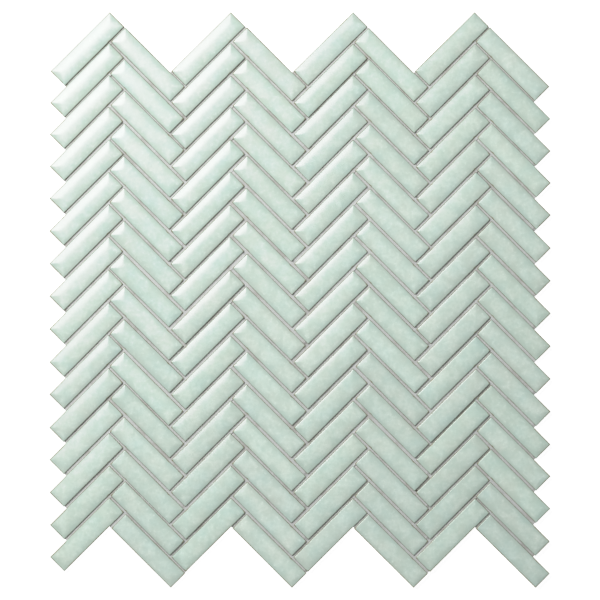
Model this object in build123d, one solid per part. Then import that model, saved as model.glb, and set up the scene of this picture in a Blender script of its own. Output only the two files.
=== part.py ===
from build123d import *

import os
from math import radians, sqrt, tan

# Herringbone mosaic sheet: glazed ceramic chips set at 45 degrees in interlocking columns and bonded into
# one flat-backed sheet by a filler that stands in the joints to just below the glazed edges. The filler is
# in straight bars that meet where the joints meet.
# Millimetres. +X runs across the columns, +Y up the columns and +Z out of the glazed face. The origin is
# on the flat back, at the middle of the sheet's outline.

# Chip, measured across the shoulders of its glazed face
CHIP_LENGTH = 50.0
CHIP_WIDTH = 12.0
CHIP_THICKNESS = 6.0  # back to the ridge of the pillowed face
CROWN_RISE = 0.8  # how far the ridge stands above the shoulders of the chip
EDGE_BEVEL = 0.5  # easing of the glazed shoulder
SIDE_DRAFT = 2.5  # degrees that the pressed sides lean in from the back

# Layout
JOINT = 1.7  # gap between the shoulders of neighbouring chips
COLUMNS = 4  # each column is a rising half and a falling half
ROWS = 16

# Filler
FILL_DEPTH = 1.1  # how far the filler lies below the shoulders

# Values that follow from the driving dimensions
slant = 45  # degrees from +X to the chips: the two halves of a column stand square to each other
shoulder_height = CHIP_THICKNESS - CROWN_RISE
shoulder_lean = shoulder_height * tan(radians(SIDE_DRAFT))
clear_height = CHIP_THICKNESS + CROWN_RISE
fill_height = shoulder_height - FILL_DEPTH
long_step = CHIP_LENGTH + JOINT
short_step = CHIP_WIDTH + JOINT
crossing_length = long_step + CHIP_WIDTH  # of a joint that runs past a chip's side and a chip's end
last_row = (ROWS - 1) * short_step
sheet_width = (2 * (COLUMNS - 1) * long_step + 2 * CHIP_LENGTH + short_step) / sqrt(2)
sheet_height = (CHIP_LENGTH + CHIP_WIDTH + short_step + 2 * last_row) / sqrt(2)


def on_sheet(along_rising, along_falling):
    """Sheet position of a point measured along the two chip directions from the top left chip's tip."""
    x = (along_rising + along_falling) / sqrt(2) - sheet_width / 2
    y = (along_rising - along_falling - CHIP_LENGTH) / sqrt(2) + sheet_height / 2
    return (x, y)


def flip(point):
    """The same point on the other side of a section's middle."""
    return (-point[0], point[1])


def section(span, top_line):
    """Section of a chip of the given span: leaning sides, and eased shoulders under the top line."""
    foot = (span / 2 + shoulder_lean, 0)
    shoulder = (span / 2, shoulder_height)
    sides = Line(flip(shoulder), flip(foot)) + Line(flip(foot), foot) + Line(foot, shoulder)
    face = make_face(sides + top_line(shoulder))
    shoulders = face.vertices().filter_by(lambda v: abs(v.Y - shoulder_height) < CROWN_RISE / 100)
    return chamfer(shoulders, EDGE_BEVEL)


def crown(shoulder):
    """Top of the section across a chip: one shallow arc."""
    return ThreePointArc(shoulder, (0, CHIP_THICKNESS), flip(shoulder))


def crown_ends(shoulder):
    """Top of the section along a chip: half a crown at each end, and clear of the ridge between them."""
    crest = ((CHIP_LENGTH - CHIP_WIDTH) / 2, CHIP_THICKNESS)
    clear = (crest[0], clear_height)
    right = TangentArc(crest, shoulder, tangent=(1, 0)) + Line(crest, clear)
    left = TangentArc(flip(crest), flip(shoulder), tangent=(-1, 0)) + Line(flip(crest), flip(clear))
    return right + Line(clear, flip(clear)) + left


def chip():
    """One pillowed chip along X with its back at z = 0. Its crowns meet in mitres at the four corners."""
    across = extrude(Plane.YZ * section(CHIP_WIDTH, crown), CHIP_LENGTH, both=True)
    along = extrude(Plane.XZ * section(CHIP_LENGTH, crown_ends), CHIP_WIDTH, both=True)
    return (across & along).solid()


def half_column(one_chip, first_centre, angle):
    """Parallel chips of half a column, each one short step below the last."""
    centres = [
        on_sheet(first_centre[0] - row * short_step, first_centre[1] + row * short_step)
        for row in range(ROWS)
    ]
    return [Pos(x, y) * Rot(0, 0, angle) * one_chip for x, y in centres]


def bar_section(span, spread):
    """Section of a filler bar of the given span, spread at its foot to lie against the leaning chip sides."""
    foot = (span / 2 + spread, 0)
    top = (span / 2 + spread * FILL_DEPTH / shoulder_height, fill_height)
    return Polygon(flip(foot), foot, top, flip(top), align=None)


def bar(length):
    """Filler of a straight joint along X: narrower below, between the chips, and longer below at its ends."""
    across = extrude(Plane.YZ * bar_section(JOINT, -shoulder_lean), length, both=True)
    along = extrude(Plane.XZ * bar_section(length, shoulder_lean), JOINT, both=True)
    return (across & along).solid()


def rising_bars():
    """Filler below each rising chip: from under the falling chip on its left, if any, to its own top end."""
    bars = []
    for column in range(COLUMNS):
        for row in range(ROWS):
            length = CHIP_LENGTH if column == 0 else crossing_length
            if row == ROWS - 1:
                length = CHIP_WIDTH
            end = column * long_step - row * short_step + CHIP_LENGTH
            place = on_sheet(end - length / 2, column * long_step + (row + 1) * short_step - JOINT / 2)
            bars.append(Pos(*place) * Rot(0, 0, slant) * bar(length))
    return bars


def falling_bars():
    """Filler below each falling chip: on past the left end of a rising chip, if any, from its own top end."""
    bars = []
    for column in range(1, COLUMNS + 1):
        for row in range(ROWS):
            length = CHIP_LENGTH if column == COLUMNS else crossing_length
            start = (column - 1) * long_step + row * short_step
            if row == 0:
                length = CHIP_WIDTH
                start = column * long_step
            if row > 0 or column < COLUMNS:
                place = on_sheet(column * long_step - row * short_step - JOINT / 2, start + length / 2)
                bars.append(Pos(*place) * Rot(0, 0, -slant) * bar(length))
    return bars


one_chip = chip()
nodes = {}
for column in range(COLUMNS):
    start = column * long_step
    rising_centre = (start + CHIP_LENGTH / 2, start + CHIP_WIDTH / 2)
    falling_centre = (start + CHIP_LENGTH - CHIP_WIDTH / 2, start + short_step + CHIP_LENGTH / 2)
    nodes[f"column_{column + 1}_rising_chips"] = half_column(one_chip, rising_centre, slant)
    nodes[f"column_{column + 1}_falling_chips"] = half_column(one_chip, falling_centre, -slant)

nodes["rising_joint_filler"] = rising_bars()
nodes["falling_joint_filler"] = falling_bars()

os.makedirs("parts", exist_ok=True)
for name, solids in nodes.items():
    export_step(Compound(solids), os.path.join("parts", f"{name}.step"))
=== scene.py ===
from math import atan, cos, pi, radians, sin, sqrt, tan

import bpy
import numpy as np
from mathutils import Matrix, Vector


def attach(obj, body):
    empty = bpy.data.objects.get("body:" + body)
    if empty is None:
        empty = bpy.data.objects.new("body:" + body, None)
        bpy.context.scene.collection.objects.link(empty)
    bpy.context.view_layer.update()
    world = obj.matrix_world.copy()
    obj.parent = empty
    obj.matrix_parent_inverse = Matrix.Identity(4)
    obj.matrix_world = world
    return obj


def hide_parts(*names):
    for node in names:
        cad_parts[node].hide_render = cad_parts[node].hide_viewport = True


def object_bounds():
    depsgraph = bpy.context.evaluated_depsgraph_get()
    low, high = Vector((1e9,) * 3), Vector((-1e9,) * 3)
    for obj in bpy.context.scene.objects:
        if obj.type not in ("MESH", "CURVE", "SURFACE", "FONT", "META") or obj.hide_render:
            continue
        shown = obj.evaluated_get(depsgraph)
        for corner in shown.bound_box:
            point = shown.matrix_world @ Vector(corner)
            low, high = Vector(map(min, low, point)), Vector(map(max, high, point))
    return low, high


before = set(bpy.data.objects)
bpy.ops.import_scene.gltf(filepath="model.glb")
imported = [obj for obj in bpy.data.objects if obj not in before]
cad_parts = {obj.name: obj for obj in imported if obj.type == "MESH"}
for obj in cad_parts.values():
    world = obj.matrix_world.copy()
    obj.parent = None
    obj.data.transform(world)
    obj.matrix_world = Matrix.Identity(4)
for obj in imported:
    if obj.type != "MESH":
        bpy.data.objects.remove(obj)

CAD_LOW, CAD_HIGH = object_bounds()

# Sizes of the sheet in millimetres, as in the part's source
MM = 0.001
CHIP_LENGTH = 50.0
CHIP_WIDTH = 12.0
CHIP_THICKNESS = 6.0
CROWN_RISE = 0.8
SIDE_DRAFT = 2.5  # degrees
JOINT = 1.7
COLUMNS = 4
ROWS = 16
FILL_DEPTH = 1.1
SLANT = 45  # degrees from +X to the chips
SHOULDER_HEIGHT = CHIP_THICKNESS - CROWN_RISE
SHOULDER_LEAN = SHOULDER_HEIGHT * tan(radians(SIDE_DRAFT))
FILL_HEIGHT = SHOULDER_HEIGHT - FILL_DEPTH
LONG_STEP = CHIP_LENGTH + JOINT
SHORT_STEP = CHIP_WIDTH + JOINT
CROSSING_LENGTH = LONG_STEP + CHIP_WIDTH  # of a joint that runs past a chip's side and a chip's end
LAST_ROW = (ROWS - 1) * SHORT_STEP
SHEET_WIDTH = (2 * (COLUMNS - 1) * LONG_STEP + 2 * CHIP_LENGTH + SHORT_STEP) / sqrt(2)
SHEET_HEIGHT = (CHIP_LENGTH + CHIP_WIDTH + SHORT_STEP + 2 * LAST_ROW) / sqrt(2)

# Finer shape of one chip
ARRIS_REACH = 0.55  # how far the rounding runs from the shoulder, down the wall and up the crown
BACK_EASE = 0.2  # easing of the edge round the back
GLAZE_SPREAD = 0.16  # how far the glaze stands out at the shoulders, inside the line of the foot
CORNER_RADIUS = 0.3
CORNER_SOFTENING = 0.15  # growth of the corner radius for each millimetre in from the arris
CORNER_MOST = 0.85  # largest corner radius, as a share of a ring's half width
CROWN_BEND = 0.9  # share of the crown's half width that is curved; the rest slopes evenly to the arris
RIDGE_HALF = 0.4  # half the width of the strip that closes the crown
WALL_HEIGHTS = (0.35, 0.65)  # rings on the wall, as shares of the shoulder's height
ARRIS_STEPS, CROWN_STEPS = 6, 10
ALONG_LONG, ALONG_SHORT, ALONG_CORNER = 28, 6, 4  # steps along each side and corner of a ring

# How far the sheet is out of true
DRAWN_IN = 0.007  # share by which the columns lie closer together at the top and bottom
FULLNESS = 0.5  # most that the columns stand out from the middle of the sheet
PULL = 0.65  # most that the rows stand away from the middle of the sheet
LIFT, LIFT_LEFT = 0.75, 0.25  # how far the middle rows lie high, and how much more so on the left

# How far a chip is out of true: the spread, and the most where there is a limit
SHIFT_SPREAD, SHIFT_MOST = 0.13, 0.28
TURN_SPREAD, TURN_MOST = 0.14, 0.30  # degrees
WAVE, WAVE_MOST = 0.05, 0.09  # waviness of the edges
WAVE_COUNT = 5
WAVE_REACH = 3.0  # how far in from the arris the waves of the edges die out
PITCH_SPREAD, ROLL_SPREAD = 0.0010, 0.006  # tilt of the face along and across the chip
TILT_REACH = 1.0  # the tilt sets in this far below the arris and is full this far inside it
SWELL = 0.02  # slow waves along the face
SWELL_COUNT = 3

SEED = 4107
rng = np.random.default_rng(SEED)


def on_sheet(along_rising, along_falling):
    """Sheet position of a point measured along the two chip directions from the top left chip's tip."""
    x = (along_rising + along_falling) / sqrt(2) - SHEET_WIDTH / 2
    y = (along_rising - along_falling - CHIP_LENGTH) / sqrt(2) + SHEET_HEIGHT / 2
    return x, y


def half_columns():
    """(label, centres of the chips from the top down, angle) of each half column."""
    for column in range(COLUMNS):
        start = column * LONG_STEP
        rising = (start + CHIP_LENGTH / 2, start + CHIP_WIDTH / 2)
        falling = (start + CHIP_LENGTH - CHIP_WIDTH / 2, start + SHORT_STEP + CHIP_LENGTH / 2)
        for kind, first, angle in (("rising", rising, SLANT), ("falling", falling, -SLANT)):
            steps = [row * SHORT_STEP for row in range(ROWS)]
            centres = [on_sheet(first[0] - step, first[1] + step) for step in steps]
            yield f"column_{column + 1}_{kind}", centres, angle


def placed(points, centre, angle):
    """Points of a chip or bar along X, turned and moved into place."""
    c, s = cos(radians(angle)), sin(radians(angle))
    return points @ np.array([[c, s], [-s, c]]) + centre


def pulled(x, y):
    """Where a point of the even layout lies on the real sheet, which is a little uneven.

    It is fuller in the middle, its middle rows lie high, and its rows are closer at the top and bottom.
    """
    u, v = 2 * x / SHEET_WIDTH, 2 * y / SHEET_HEIGHT
    middling = 1 - v ** 2
    x = x * (1 - DRAWN_IN * v ** 2) + FULLNESS * middling * np.sin(pi * u)
    return x, y + PULL * np.sin(pi * v) + middling * (LIFT - LIFT_LEFT * u)


def chip_profile():
    """(inset, height) of each ring of a chip from its back to its ridge, and its distance in from the arris.

    The distance is negative for the rings on the wall, below the arris.
    """
    lean = (SHOULDER_LEAN - GLAZE_SPREAD) / SHOULDER_HEIGHT
    shoulder = np.array([-GLAZE_SPREAD, SHOULDER_HEIGHT])
    half_width = CHIP_WIDTH / 2
    steepness = CROWN_RISE / (1 - CROWN_BEND / 2)
    slope = atan(steepness / half_width)
    rings = [(BACK_EASE - SHOULDER_LEAN, 0.0), (BACK_EASE * lean - SHOULDER_LEAN, BACK_EASE)]
    for share in WALL_HEIGHTS:
        rings.append((share * lean * SHOULDER_HEIGHT - SHOULDER_LEAN, share * SHOULDER_HEIGHT))
    foot = shoulder - ARRIS_REACH * np.array([lean, 1.0])
    head = shoulder + ARRIS_REACH * np.array([cos(slope), sin(slope)])
    arris = len(rings) + ARRIS_STEPS // 2
    for t in np.linspace(0, 1, ARRIS_STEPS + 1):
        rings.append(tuple((1 - t) ** 2 * foot + 2 * t * (1 - t) * shoulder + t ** 2 * head))

    def on_crown(inset):
        out = 1 - inset / half_width
        fall = out ** 2 / (2 * CROWN_BEND) if out < CROWN_BEND else out - CROWN_BEND / 2
        return CHIP_THICKNESS - steepness * fall

    offset = head[1] - on_crown(head[0])
    for t in np.linspace(0, 1, CROWN_STEPS + 1)[1:]:
        inset = head[0] + (half_width - RIDGE_HALF - head[0]) * t
        rings.append((inset, on_crown(inset) + offset * (1 - t)))
    rings = np.array(rings)
    travelled = np.concatenate([[0], np.cumsum(np.hypot(*np.diff(rings, axis=0).T))])
    return rings, travelled - travelled[arris]


def ring_points(inset, corner):
    """Plan of one ring, anticlockwise from its lower right corner."""
    a, b = CHIP_LENGTH / 2 - inset, CHIP_WIDTH / 2 - inset
    corner = min(corner, CORNER_MOST * b)
    signs = ((1, -1), (1, 1), (-1, 1), (-1, -1))
    centres = [np.array([sx * (a - corner), sy * (b - corner)]) for sx, sy in signs]
    points = []
    for quarter in range(4):
        start = (quarter - 1) * pi / 2
        for angle in np.linspace(start, start + pi / 2, ALONG_CORNER + 1):
            points.append(centres[quarter] + corner * np.array([cos(angle), sin(angle)]))
        out = corner * np.array([cos(start + pi / 2), sin(start + pi / 2)])
        begin, end = centres[quarter] + out, centres[(quarter + 1) % 4] + out
        count = ALONG_SHORT if quarter % 2 == 0 else ALONG_LONG
        for t in np.linspace(0, 1, count + 1)[1:-1]:
            points.append(begin + (end - begin) * t)
    return np.array(points)


PROFILE, EDGE_DISTANCE = chip_profile()
RINGS = np.array([
    ring_points(inset, CORNER_RADIUS + CORNER_SOFTENING * max(0.0, distance))
    for inset, distance in zip(PROFILE[:, 0], EDGE_DISTANCE)
])
RING_SIZE = RINGS.shape[1]
CHIP_POINTS = RINGS.shape[0] * RING_SIZE
END_DISTANCE = CHIP_LENGTH / 2 - np.abs(RINGS[:, :, 0])
OUTLINE = RINGS[1]
ON_SIDE = np.abs(OUTLINE[:, 1]) > CHIP_WIDTH / 2 - CORNER_RADIUS
OUTWARDS = np.where(ON_SIDE[:, None], [0, 1], [1, 0]) * np.sign(OUTLINE)


def cap_faces(base, upward):
    """Faces across a ring: strips between its two long sides and one face at each end."""
    corner, short, long_ = ALONG_CORNER + 1, ALONG_SHORT - 1, ALONG_LONG - 1
    top = list(range(2 * corner + short - 1, 2 * corner + short + long_ + 1))
    low_start = 4 * corner + 2 * short + long_ - 1
    low = [(low_start + i) % RING_SIZE for i in range(ALONG_LONG + 1)]
    faces = []
    for i in range(ALONG_LONG):
        faces.append([low[i], low[i + 1], top[ALONG_LONG - i - 1], top[ALONG_LONG - i]])
    for begin, end in ((low[-1], top[0]), (top[-1], low[0])):
        faces.append([(begin + i) % RING_SIZE for i in range((end - begin) % RING_SIZE + 1)])
    return [[base + i for i in (face if upward else face[::-1])] for face in faces]


def chip_faces(base):
    """Faces of the chip whose points start at base: bands from ring to ring, and a cap at each end."""
    faces = []
    for ring in range(len(RINGS) - 1):
        low, high = base + ring * RING_SIZE, base + (ring + 1) * RING_SIZE
        for i in range(RING_SIZE):
            j = (i + 1) % RING_SIZE
            faces.append([low + i, low + j, high + j, high + i])
    return faces + cap_faces(base, False) + cap_faces(base + CHIP_POINTS - RING_SIZE, True)


def wavy(places, waves, size):
    """Smooth random wave along a closed line, places from 0 to 1."""
    total = np.zeros_like(places)
    for wave in range(1, waves + 1):
        total += rng.normal(0, 1) / sqrt(wave) * np.cos(2 * pi * (wave * places + rng.random()))
    return size * total / sqrt(waves)


def open_edges(centre, angle):
    """1 for each point of a ring that has no other chip across a joint from it, or else 0."""
    across = placed(OUTLINE + 2 * JOINT * OUTWARDS, centre, angle)
    taken = np.zeros(RING_SIZE, dtype=bool)
    for _, centres, other_angle in half_columns():
        for other in centres:
            there = np.abs(placed(across - other, (0, 0), -other_angle))
            taken |= (there[:, 0] < CHIP_LENGTH / 2) & (there[:, 1] < CHIP_WIDTH / 2)
    return 1.0 - taken


def chip_vertices(centre, angle):
    """One chip in place, a little out of line and true, as pressed and fired chips are."""
    around = np.arctan2(OUTLINE[:, 1] / CHIP_WIDTH, OUTLINE[:, 0] / CHIP_LENGTH) / (2 * pi) + 0.5
    wave = np.clip(wavy(around, WAVE_COUNT, WAVE), -WAVE_MOST, WAVE_MOST)
    fade = np.clip(1 - EDGE_DISTANCE / WAVE_REACH, 0, 1)
    plan = RINGS + wave[None, :, None] * OUTWARDS[None] * fade[:, None, None]
    pitch, roll = rng.normal(0, PITCH_SPREAD), rng.normal(0, ROLL_SPREAD)
    swell = wavy(plan[:, :, 0] / CHIP_LENGTH / 2 + 0.5, SWELL_COUNT, SWELL)
    tilted = np.clip((EDGE_DISTANCE + TILT_REACH) / (2 * TILT_REACH), 0, 1)[:, None]
    height = PROFILE[:, 1][:, None] + tilted * (pitch * plan[:, :, 0] + roll * plan[:, :, 1] + swell)
    height -= tilted * max(0.0, height.max() - CHIP_THICKNESS)
    shift = np.clip(rng.normal(0, SHIFT_SPREAD, 2), -SHIFT_MOST, SHIFT_MOST)
    turn = angle + np.clip(rng.normal(0, TURN_SPREAD), -TURN_MOST, TURN_MOST)
    x, y = np.moveaxis(placed(plan, centre + shift, turn), 2, 0)
    low, high = np.array(CAD_LOW[:2]) / MM, np.array(CAD_HIGH[:2]) / MM
    x += max(0.0, low[0] - x.min()) - max(0.0, x.max() - high[0])
    y += max(0.0, low[1] - y.min()) - max(0.0, y.max() - high[1])
    return np.stack([x, y, height], axis=2).reshape(-1, 3)


def mesh_object(name, vertices, faces, material):
    """New object in the scene, from points in millimetres."""
    mesh = bpy.data.meshes.new(name)
    mesh.from_pydata((np.asarray(vertices) * MM).tolist(), [], faces)
    mesh.materials.append(material)
    piece = bpy.data.objects.new(name, mesh)
    bpy.context.scene.collection.objects.link(piece)
    return piece


def belongs(piece, node):
    """Every piece rides the one body, in the place of a node of the solids."""
    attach(piece, "root")
    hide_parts(node)


def note(piece, name, values):
    """One number for each point of a piece, for its material to read."""
    attribute = piece.data.attributes.new(name, "FLOAT", "POINT")
    attribute.data.foreach_set("value", values.astype(np.float32))


def half_column(label, centres, angle, material):
    """The chips of half a column as one piece, with what the glaze needs to know of each point."""
    vertices, faces, tones, opens = [], [], [], []
    for row, centre in enumerate(centres):
        faces += chip_faces(row * CHIP_POINTS)
        vertices.append(chip_vertices(pulled(*centre), angle))
        tones.append(np.tile([*rng.random(3), 1.0], (CHIP_POINTS, 1)))
        opens.append(np.tile(open_edges(centre, angle), len(RINGS)))
    piece = mesh_object(f"{label}_glazed", np.concatenate(vertices), faces, material)
    piece.data.shade_smooth()
    note(piece, "edge_mm", np.tile(np.repeat(EDGE_DISTANCE, RING_SIZE), ROWS))
    note(piece, "end_mm", np.tile(END_DISTANCE.ravel(), ROWS))
    note(piece, "open_edge", np.concatenate(opens))
    tone = piece.data.attributes.new("tone", "FLOAT_COLOR", "POINT")
    tone.data.foreach_set("color", np.concatenate(tones).astype(np.float32).ravel())
    belongs(piece, f"{label}_chips")


# Filler bars
FILL_TUCK = 0.5  # how far a bar runs on past the chips' sides, which hide its edges
FILL_STEP = 2.0  # spacing of the points along a bar
FILL_ACROSS = np.array([-1.0, -0.5, 0.0, 0.5, 1.0])  # places of the points across a bar
FILL_DISH = 0.18  # how far the middle of a joint lies below its edges
FILL_ROUGH = 0.05  # unevenness of the filler's surface
FILL_SINK = 0.65  # most that a bar lies low
SINK_RARITY = 4  # a high power, so that few bars do
FILL_PIT = 1.0  # most that a bar falls away at an end
FILL_CREEP = 0.3  # how far the filler has crept up between the chips
FILL_BACK = 0.05  # how far the filler's back stays clear of the bedding plane
FALLING_DROP = 0.02  # how much lower the falling bars are, to lie under the ends of the rising ones


def bar_vertices(middle, length, angle, drop):
    """One bar of filler: rows of points across it, the top ones first, then the back ones."""
    stations = np.linspace(-length / 2, length / 2, round(length / FILL_STEP) + 1)
    along, across = np.meshgrid(stations, FILL_ACROSS * (JOINT / 2 + FILL_TUCK), indexing="ij")
    dish = FILL_DISH * (1 - FILL_ACROSS ** 2)[None, :]
    grain = rng.uniform(-FILL_ROUGH, FILL_ROUGH, along.shape) - FILL_ROUGH
    sink = FILL_SINK * rng.random() ** SINK_RARITY
    top = FILL_HEIGHT + FILL_CREEP - drop - dish + grain - sink
    for end in (0, -1):
        top[end] -= max(0.0, rng.uniform(-FILL_PIT, FILL_PIT))
    even = placed(np.stack([along, across], axis=2), middle, angle)
    x, y = pulled(even[:, :, 0], even[:, :, 1])
    back = np.full_like(top, FILL_BACK)
    return np.concatenate([np.stack([x, y, z], axis=2).reshape(-1, 3) for z in (top, back)]), len(stations)


def bar_faces(base, stations):
    """Faces of a bar, closed all round."""
    wide = len(FILL_ACROSS)
    back = base + stations * wide
    faces = []
    for i in range(stations - 1):
        for j in range(wide - 1):
            cell = [i * wide + j, (i + 1) * wide + j, (i + 1) * wide + j + 1, i * wide + j + 1]
            faces.append([base + k for k in cell])
            faces.append([back + k for k in cell[::-1]])
    edges = [(i * wide, (i + 1) * wide) for i in range(stations - 1)]
    edges += [((i + 1) * wide + wide - 1, i * wide + wide - 1) for i in range(stations - 1)]
    edges += [(j + 1, j) for j in range(wide - 1)]
    edges += [((stations - 1) * wide + j, (stations - 1) * wide + j + 1) for j in range(wide - 1)]
    for a, b in edges:
        faces.append([base + b, base + a, back + a, back + b])
    return faces


def rising_bars():
    """(middle, length) of the filler below each rising chip."""
    for column in range(COLUMNS):
        for row in range(ROWS):
            length = CHIP_LENGTH if column == 0 else CROSSING_LENGTH
            if row == ROWS - 1:
                length = CHIP_WIDTH
            end = column * LONG_STEP - row * SHORT_STEP + CHIP_LENGTH
            yield on_sheet(end - length / 2, column * LONG_STEP + (row + 1) * SHORT_STEP - JOINT / 2), length


def falling_bars():
    """(middle, length) of the filler below each falling chip, and beside the chip ends in the top notches."""
    for column in range(1, COLUMNS + 1):
        for row in range(ROWS):
            length = CHIP_LENGTH if column == COLUMNS else CROSSING_LENGTH
            start = (column - 1) * LONG_STEP + row * SHORT_STEP
            if row == 0:
                length = CHIP_WIDTH
                start = column * LONG_STEP
            if row > 0 or column < COLUMNS:
                yield on_sheet(column * LONG_STEP - row * SHORT_STEP - JOINT / 2, start + length / 2), length


def filler(label, bars, angle, drop, material):
    """The bars that run one way, as one piece."""
    vertices, faces = [], []
    count = 0
    for middle, length in bars:
        points, stations = bar_vertices(middle, length, angle, drop)
        faces += bar_faces(count, stations)
        vertices.append(points)
        count += len(points)
    piece = mesh_object(f"{label}_joint_bed", np.concatenate(vertices), faces, material)
    belongs(piece, f"{label}_joint_filler")


class Nodes:
    """Short forms for building one material's node tree."""

    def __init__(self, name):
        self.material = bpy.data.materials.new(name)
        self.material.use_nodes = True
        self.tree = self.material.node_tree

    def set(self, socket, value):
        if isinstance(value, bpy.types.NodeSocket):
            self.tree.links.new(value, socket)
        else:
            socket.default_value = value

    def shade(self, **values):
        """Inputs of the shader, with _ for the spaces in their names."""
        for name, value in values.items():
            self.set(self.tree.nodes["Principled BSDF"].inputs[name.replace("_", " ")], value)

    def node(self, kind, inputs, **settings):
        node = self.tree.nodes.new(kind)
        for key, value in settings.items():
            setattr(node, key, value)
        for socket, value in inputs.items():
            self.set(node.inputs[socket], value)
        return node

    def math(self, operation, a, b, c=0.0):
        return self.node("ShaderNodeMath", {0: a, 1: b, 2: c}, operation=operation).outputs[0]

    def plus(self, a, b):
        return self.math("ADD", a, b)

    def times(self, a, b):
        return self.math("MULTIPLY", a, b)

    def scaled(self, value, factor, offset):
        return self.math("MULTIPLY_ADD", value, factor, offset)

    def smooth(self, value, span, begin, end):
        """Goes smoothly from begin to end while value crosses the span."""
        inputs = {"Value": value, "From Min": span[0], "From Max": span[1], "To Min": begin, "To Max": end}
        return self.node("ShaderNodeMapRange", inputs, interpolation_type="SMOOTHSTEP").outputs["Result"]

    def mix(self, factor, a, b):
        """Colour mix. 6, 7 and 2 are the node's colour sockets."""
        return self.node("ShaderNodeMix", {"Factor": factor, 6: a, 7: b}, data_type="RGBA").outputs[2]

    def noise(self, vector, scale, detail=2.0, roughness=0.5, distortion=0.0):
        inputs = {"Vector": vector, "Scale": scale, "Detail": detail, "Roughness": roughness,
                  "Distortion": distortion}
        return self.node("ShaderNodeTexNoise", inputs).outputs["Fac"]

    def attribute(self, name, output="Fac"):
        return self.node("ShaderNodeAttribute", {}, attribute_name=name).outputs[output]

    def place(self):
        return self.node("ShaderNodeTexCoord", {}).outputs["Object"]

    def bump(self, height, strength, distance):
        node = self.node("ShaderNodeBump", {"Strength": strength, "Distance": distance, "Height": height})
        self.shade(Normal=node.outputs["Normal"])


def rgb(red, green, blue):
    return (red, green, blue, 1.0)


# Colours of the glaze, as linear reflectance
CREST = rgb(0.511, 0.618, 0.549)
POOL = rgb(0.416, 0.512, 0.451)
CREAM = rgb(0.562, 0.665, 0.597)
DEEP = rgb(0.453, 0.563, 0.494)
# Dark olive edge line: the glaze's brown break, and painted shade on the arris
RIM_AND_SHADE = rgb(0.21, 0.18, 0.09)
BODY = rgb(0.80, 0.78, 0.79)
BODY_GRAIN = rgb(0.70, 0.67, 0.68)

# Patterns in the glaze, in waves per metre
DRIFT_SCALE = 80.0
CLOUD_SCALE = 130.0
PEEL_SCALE = 260.0
BLOTCH_SCALE = 520.0
GRAIN_SCALE = 1600.0

# Tints of the glaze: the span, in millimetres or noise, over which each one comes or goes, and its most
POOL_SPAN = (0.4, 4.4)  # from the arris
POOL_WANDER = 2.4  # how far the clouds move that span
END_SPAN, END_MOST = (2.0, 7.5), 0.25  # more of the same tint, from the chip's end
CREAM_SPAN = (0.3, 2.5)  # from the arris
CREAM_CLOUDS, CREAM_CLOUDS_MOST = (0.38, 0.68), 0.6
CREAM_BLOTCHES, CREAM_BLOTCHES_MOST = (0.42, 0.72), 0.42
DEEP_CLOUDS, DEEP_CLOUDS_MOST = (0.30, 0.60), 0.4
DEEP_BLOTCHES, DEEP_BLOTCHES_MOST = (0.28, 0.55), 0.4

# Differences from chip to chip, the spread, and within a chip, the drift, above the least value
VALUE_SPREAD, VALUE_LEAST = 0.07, 0.965
SATURATION_SPREAD, SATURATION_DRIFT, SATURATION_LEAST = 0.10, 0.85, 0.535
HUE_SPREAD, HUE_DRIFT, HUE_LEAST = 0.01, 0.13, 0.43

# Dark line at the edge of the glaze, in millimetres in from the arris: the glaze's own brown break, made
# darker as painted shade on the arris
RIM_SPAN = (-0.05, 0.36)  # where the dark line gives way
RIM_WANDER = 0.4  # how ragged it is
RIM_OPEN = 0.4  # how much wider the dark line is where no chip lies across a joint: painted shade on the arris along the sheet's outer edges
RIM_CLOUDS, RIM_LEAST, RIM_MOST = (0.3, 0.6), 0.45, 0.82  # how strong it is, by the clouds
BARE_SPAN = (-2.2, -1.4)  # where the bare body gives way to glaze, low on the wall
GRAIN_SPAN = (0.3, 0.7)  # noise over which the body's grain comes

# Surface of the glaze
GLAZE_ROUGH, BLOTCH_ROUGH, BARE_ROUGH = 0.21, 0.10, 0.45  # the least, and what blotches and bare body add
GLAZE_IOR = 1.5
PEEL_STRENGTH, PEEL_HEIGHT = 0.25, 0.00012  # height in metres
BARE_GRAIN = 0.5  # height of the bare body's grain, as a share of the peel's


def glaze_tint(n, place, edge, clouds, blotches, dice):
    """Pale green, deeper towards the edges and ends, clouded, and a little different on each chip."""
    drift = n.noise(place, DRIFT_SCALE)
    inset = n.plus(edge, n.scaled(clouds, POOL_WANDER, -POOL_WANDER / 2))
    ends = n.smooth(n.attribute("end_mm"), END_SPAN, END_MOST, 0.0)
    colour = n.mix(n.plus(n.smooth(inset, POOL_SPAN, 1.0, 0.0), ends), CREST, POOL)
    cream = n.plus(
        n.smooth(clouds, CREAM_CLOUDS, 0.0, CREAM_CLOUDS_MOST),
        n.smooth(blotches, CREAM_BLOTCHES, 0.0, CREAM_BLOTCHES_MOST),
    )
    colour = n.mix(n.times(cream, n.smooth(edge, CREAM_SPAN, 0.0, 1.0)), colour, CREAM)
    deep = n.plus(
        n.smooth(clouds, DEEP_CLOUDS, DEEP_CLOUDS_MOST, 0.0),
        n.smooth(blotches, DEEP_BLOTCHES, DEEP_BLOTCHES_MOST, 0.0),
    )
    saturation = n.scaled(drift, SATURATION_DRIFT, SATURATION_LEAST)
    hue = n.scaled(drift, HUE_DRIFT, HUE_LEAST)
    tinted = n.node("ShaderNodeHueSaturation", {
        "Color": n.mix(deep, colour, DEEP),
        "Value": n.scaled(dice[0], VALUE_SPREAD, VALUE_LEAST),
        "Saturation": n.scaled(dice[1], SATURATION_SPREAD, saturation),
        "Hue": n.scaled(dice[2], HUE_SPREAD, hue),
    })
    return tinted.outputs["Color"]


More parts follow.
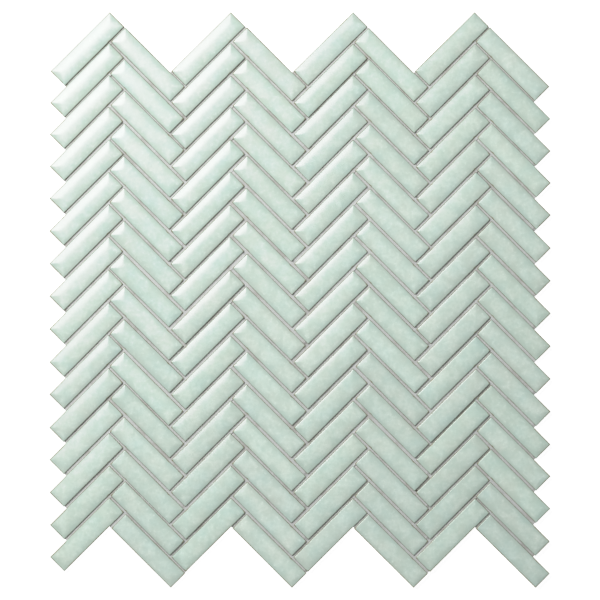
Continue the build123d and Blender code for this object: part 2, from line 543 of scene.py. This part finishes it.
def glaze_material():
    """Glossy clouded glaze that breaks to a thin dark line at the edges, partly brown glaze and partly
    painted shade on the arris, and bare body low on the walls.
    """
    n = Nodes("celadon_glaze")
    edge = n.attribute("edge_mm")
    tone = n.attribute("tone", "Color")
    dice = n.node("ShaderNodeSeparateColor", {0: tone}).outputs
    place = n.node("ShaderNodeVectorMath", {0: tone, 1: n.place()}, operation="ADD").outputs[0]
    clouds = n.noise(place, CLOUD_SCALE, detail=3.0, distortion=0.4)
    blotches = n.noise(place, BLOTCH_SCALE, detail=3.0)
    grain = n.noise(place, GRAIN_SCALE, roughness=0.6)
    tint = glaze_tint(n, place, edge, clouds, blotches, dice)

    ragged = n.plus(edge, n.scaled(grain, RIM_WANDER, -RIM_WANDER / 2))
    # Painted shade: along the sheet's outer edges the dark line reaches further in, standing in for the arris
    # in shade
    outline_shade_edge = n.scaled(n.attribute("open_edge"), -RIM_OPEN, ragged)
    strength = n.smooth(clouds, RIM_CLOUDS, RIM_LEAST, RIM_MOST)
    # Painted shade and the glaze's brown break: a dark line along every edge
    rim_and_shade = n.times(n.smooth(outline_shade_edge, RIM_SPAN, 1.0, 0.0), strength)
    bare = n.smooth(ragged, BARE_SPAN, 1.0, 0.0)
    body = n.mix(n.smooth(grain, GRAIN_SPAN, 0.0, 1.0), BODY, BODY_GRAIN)

    rough = n.scaled(blotches, BLOTCH_ROUGH, GLAZE_ROUGH)
    n.shade(Base_Color=n.mix(bare, n.mix(rim_and_shade, tint, RIM_AND_SHADE), body))
    n.shade(Roughness=n.scaled(bare, BARE_ROUGH, rough), IOR=GLAZE_IOR)
    peel = n.noise(place, PEEL_SCALE)
    n.bump(n.plus(peel, n.times(grain, n.times(bare, BARE_GRAIN))), PEEL_STRENGTH, PEEL_HEIGHT)
    return n.material


# Filler's sand and stains
SAND_SCALE, STAIN_SCALE = 2600.0, 90.0  # waves per metre
SAND_DARK = rgb(0.442, 0.456, 0.45)
SAND_LIGHT = rgb(0.556, 0.57, 0.563)
SAND_SPAN = (0.3, 0.7)
STAIN = rgb(0.346, 0.335, 0.308)
STAIN_SPAN, STAIN_MOST = (0.45, 0.7), 0.7
SAND_ROUGH_SPAN, SAND_ROUGH_LEAST, SAND_ROUGH_MOST = (0.2, 0.8), 0.5, 0.65
SAND_STRENGTH, SAND_HEIGHT = 0.6, 0.0001  # height in metres


def filler_material():
    """Matt, sandy, light grey, with faint stains."""
    n = Nodes("joint_filler")
    place = n.place()
    sand = n.noise(place, SAND_SCALE, roughness=0.6)
    stains = n.noise(place, STAIN_SCALE, detail=3.0, roughness=0.6)
    colour = n.mix(n.smooth(sand, SAND_SPAN, 0.0, 1.0), SAND_DARK, SAND_LIGHT)
    n.shade(Base_Color=n.mix(n.smooth(stains, STAIN_SPAN, 0.0, STAIN_MOST), colour, STAIN))
    n.shade(Roughness=n.smooth(sand, SAND_ROUGH_SPAN, SAND_ROUGH_LEAST, SAND_ROUGH_MOST))
    n.bump(sand, SAND_STRENGTH, SAND_HEIGHT)
    return n.material


glaze = glaze_material()
for label, centres, angle in half_columns():
    half_column(label, centres, angle, glaze)
bed = filler_material()
filler("rising", rising_bars(), SLANT, 0.0, bed)
filler("falling", falling_bars(), -SLANT, FALLING_DROP, bed)

# Stage, with lengths in metres
FLOOR_HALF = 2.0
FLOOR_WHITES = (0.90, 0.92)  # reflectance varies faintly between these
FLOOR_SCALE = 3.0  # waves per metre
FLOOR_ROUGH, FLOOR_SPECULAR = 0.9, 0.1
FLOOR_GLOW = 1.0
KEY_TOWARDS = 135  # degrees from +X, to the upper left of the picture
KEY_ELEVATION = 57.0  # degrees
KEY_DISTANCE = 0.95
KEY_SIZE = 0.41
KEY_POWER = 8.9  # watts
KEY_COLOUR = (1.0, 0.985, 0.975)
SKY_COLOUR = rgb(0.97, 0.98, 1.0)
SKY_STRENGTH = 0.41

# Camera and film
IMAGE_PX = 600
MM_PER_PX = 0.5983
CAMERA_HEIGHT = 1.2  # metres above the chips' shoulders
SENSOR_WIDTH = 36.0
FILM_WHITE = 1.5  # light that comes out as white
FILM_SHOULDER = ((0.75, 0.75), (0.9, 0.835), (1.1, 0.905), (1.25, 0.94))  # light, tone
ALL_CHANNELS = 3  # the film's curve for red, green and blue together


def floor():
    """White table that glows a little, as for catalogue pictures."""
    n = Nodes("pale_floor")
    low, high = (rgb(white, white, white) for white in FLOOR_WHITES)
    n.shade(Base_Color=n.mix(n.noise(n.place(), FLOOR_SCALE), low, high))
    n.shade(Roughness=FLOOR_ROUGH, Specular_IOR_Level=FLOOR_SPECULAR)
    n.shade(Emission_Color=rgb(1.0, 1.0, 1.0), Emission_Strength=FLOOR_GLOW)
    side = FLOOR_HALF / MM
    corners = [(-side, -side, 0), (side, -side, 0), (side, side, 0), (-side, side, 0)]
    mesh_object("floor", corners, [[0, 1, 2, 3]], n.material)


def key_light():
    """Square softbox that faces the middle of the sheet."""
    light = bpy.data.lights.new("key", "AREA")
    light.shape = "SQUARE"
    light.size = KEY_SIZE
    light.energy = KEY_POWER
    light.color = KEY_COLOUR
    obj = bpy.data.objects.new("key", light)
    a, e = radians(KEY_TOWARDS), radians(KEY_ELEVATION)
    obj.location = KEY_DISTANCE * Vector((cos(a) * cos(e), sin(a) * cos(e), sin(e)))
    obj.rotation_mode = "QUATERNION"
    obj.rotation_quaternion = obj.location.to_track_quat("Z", "Y")
    bpy.context.scene.collection.objects.link(obj)


def sky():
    """Even, faintly blue light from all round."""
    world = bpy.data.worlds.new("studio")
    world.use_nodes = True
    background = world.node_tree.nodes["Background"]
    background.inputs["Color"].default_value = SKY_COLOUR
    background.inputs["Strength"].default_value = SKY_STRENGTH
    bpy.context.scene.world = world


def camera():
    """Straight above the middle of the sheet, framed as in the photograph."""
    data = bpy.data.cameras.new("camera")
    data.sensor_width = SENSOR_WIDTH
    data.lens = data.sensor_width * CAMERA_HEIGHT / (IMAGE_PX * MM_PER_PX * MM)
    obj = bpy.data.objects.new("camera", data)
    obj.location = (0, 0, CAMERA_HEIGHT + SHOULDER_HEIGHT * MM)
    bpy.context.scene.collection.objects.link(obj)
    bpy.context.scene.camera = obj


def film_curve():
    """Soft shoulder, as of a photograph: tones above about 0.75 are drawn in towards white."""
    view = bpy.context.scene.view_settings
    view.view_transform = "Standard"
    view.use_curve_mapping = True
    mapping = view.curve_mapping
    mapping.white_level = (FILM_WHITE, FILM_WHITE, FILM_WHITE)
    tones = mapping.curves[ALL_CHANNELS].points
    tones[0].location, tones[-1].location = (0.0, 0.0), (1.0, 1.0)
    for light, tone in FILM_SHOULDER:
        tones.new(light / FILM_WHITE, tone)
    for point in tones:
        point.handle_type = "VECTOR"
    mapping.update()


floor()
key_light()
sky()
film_curve()
camera()
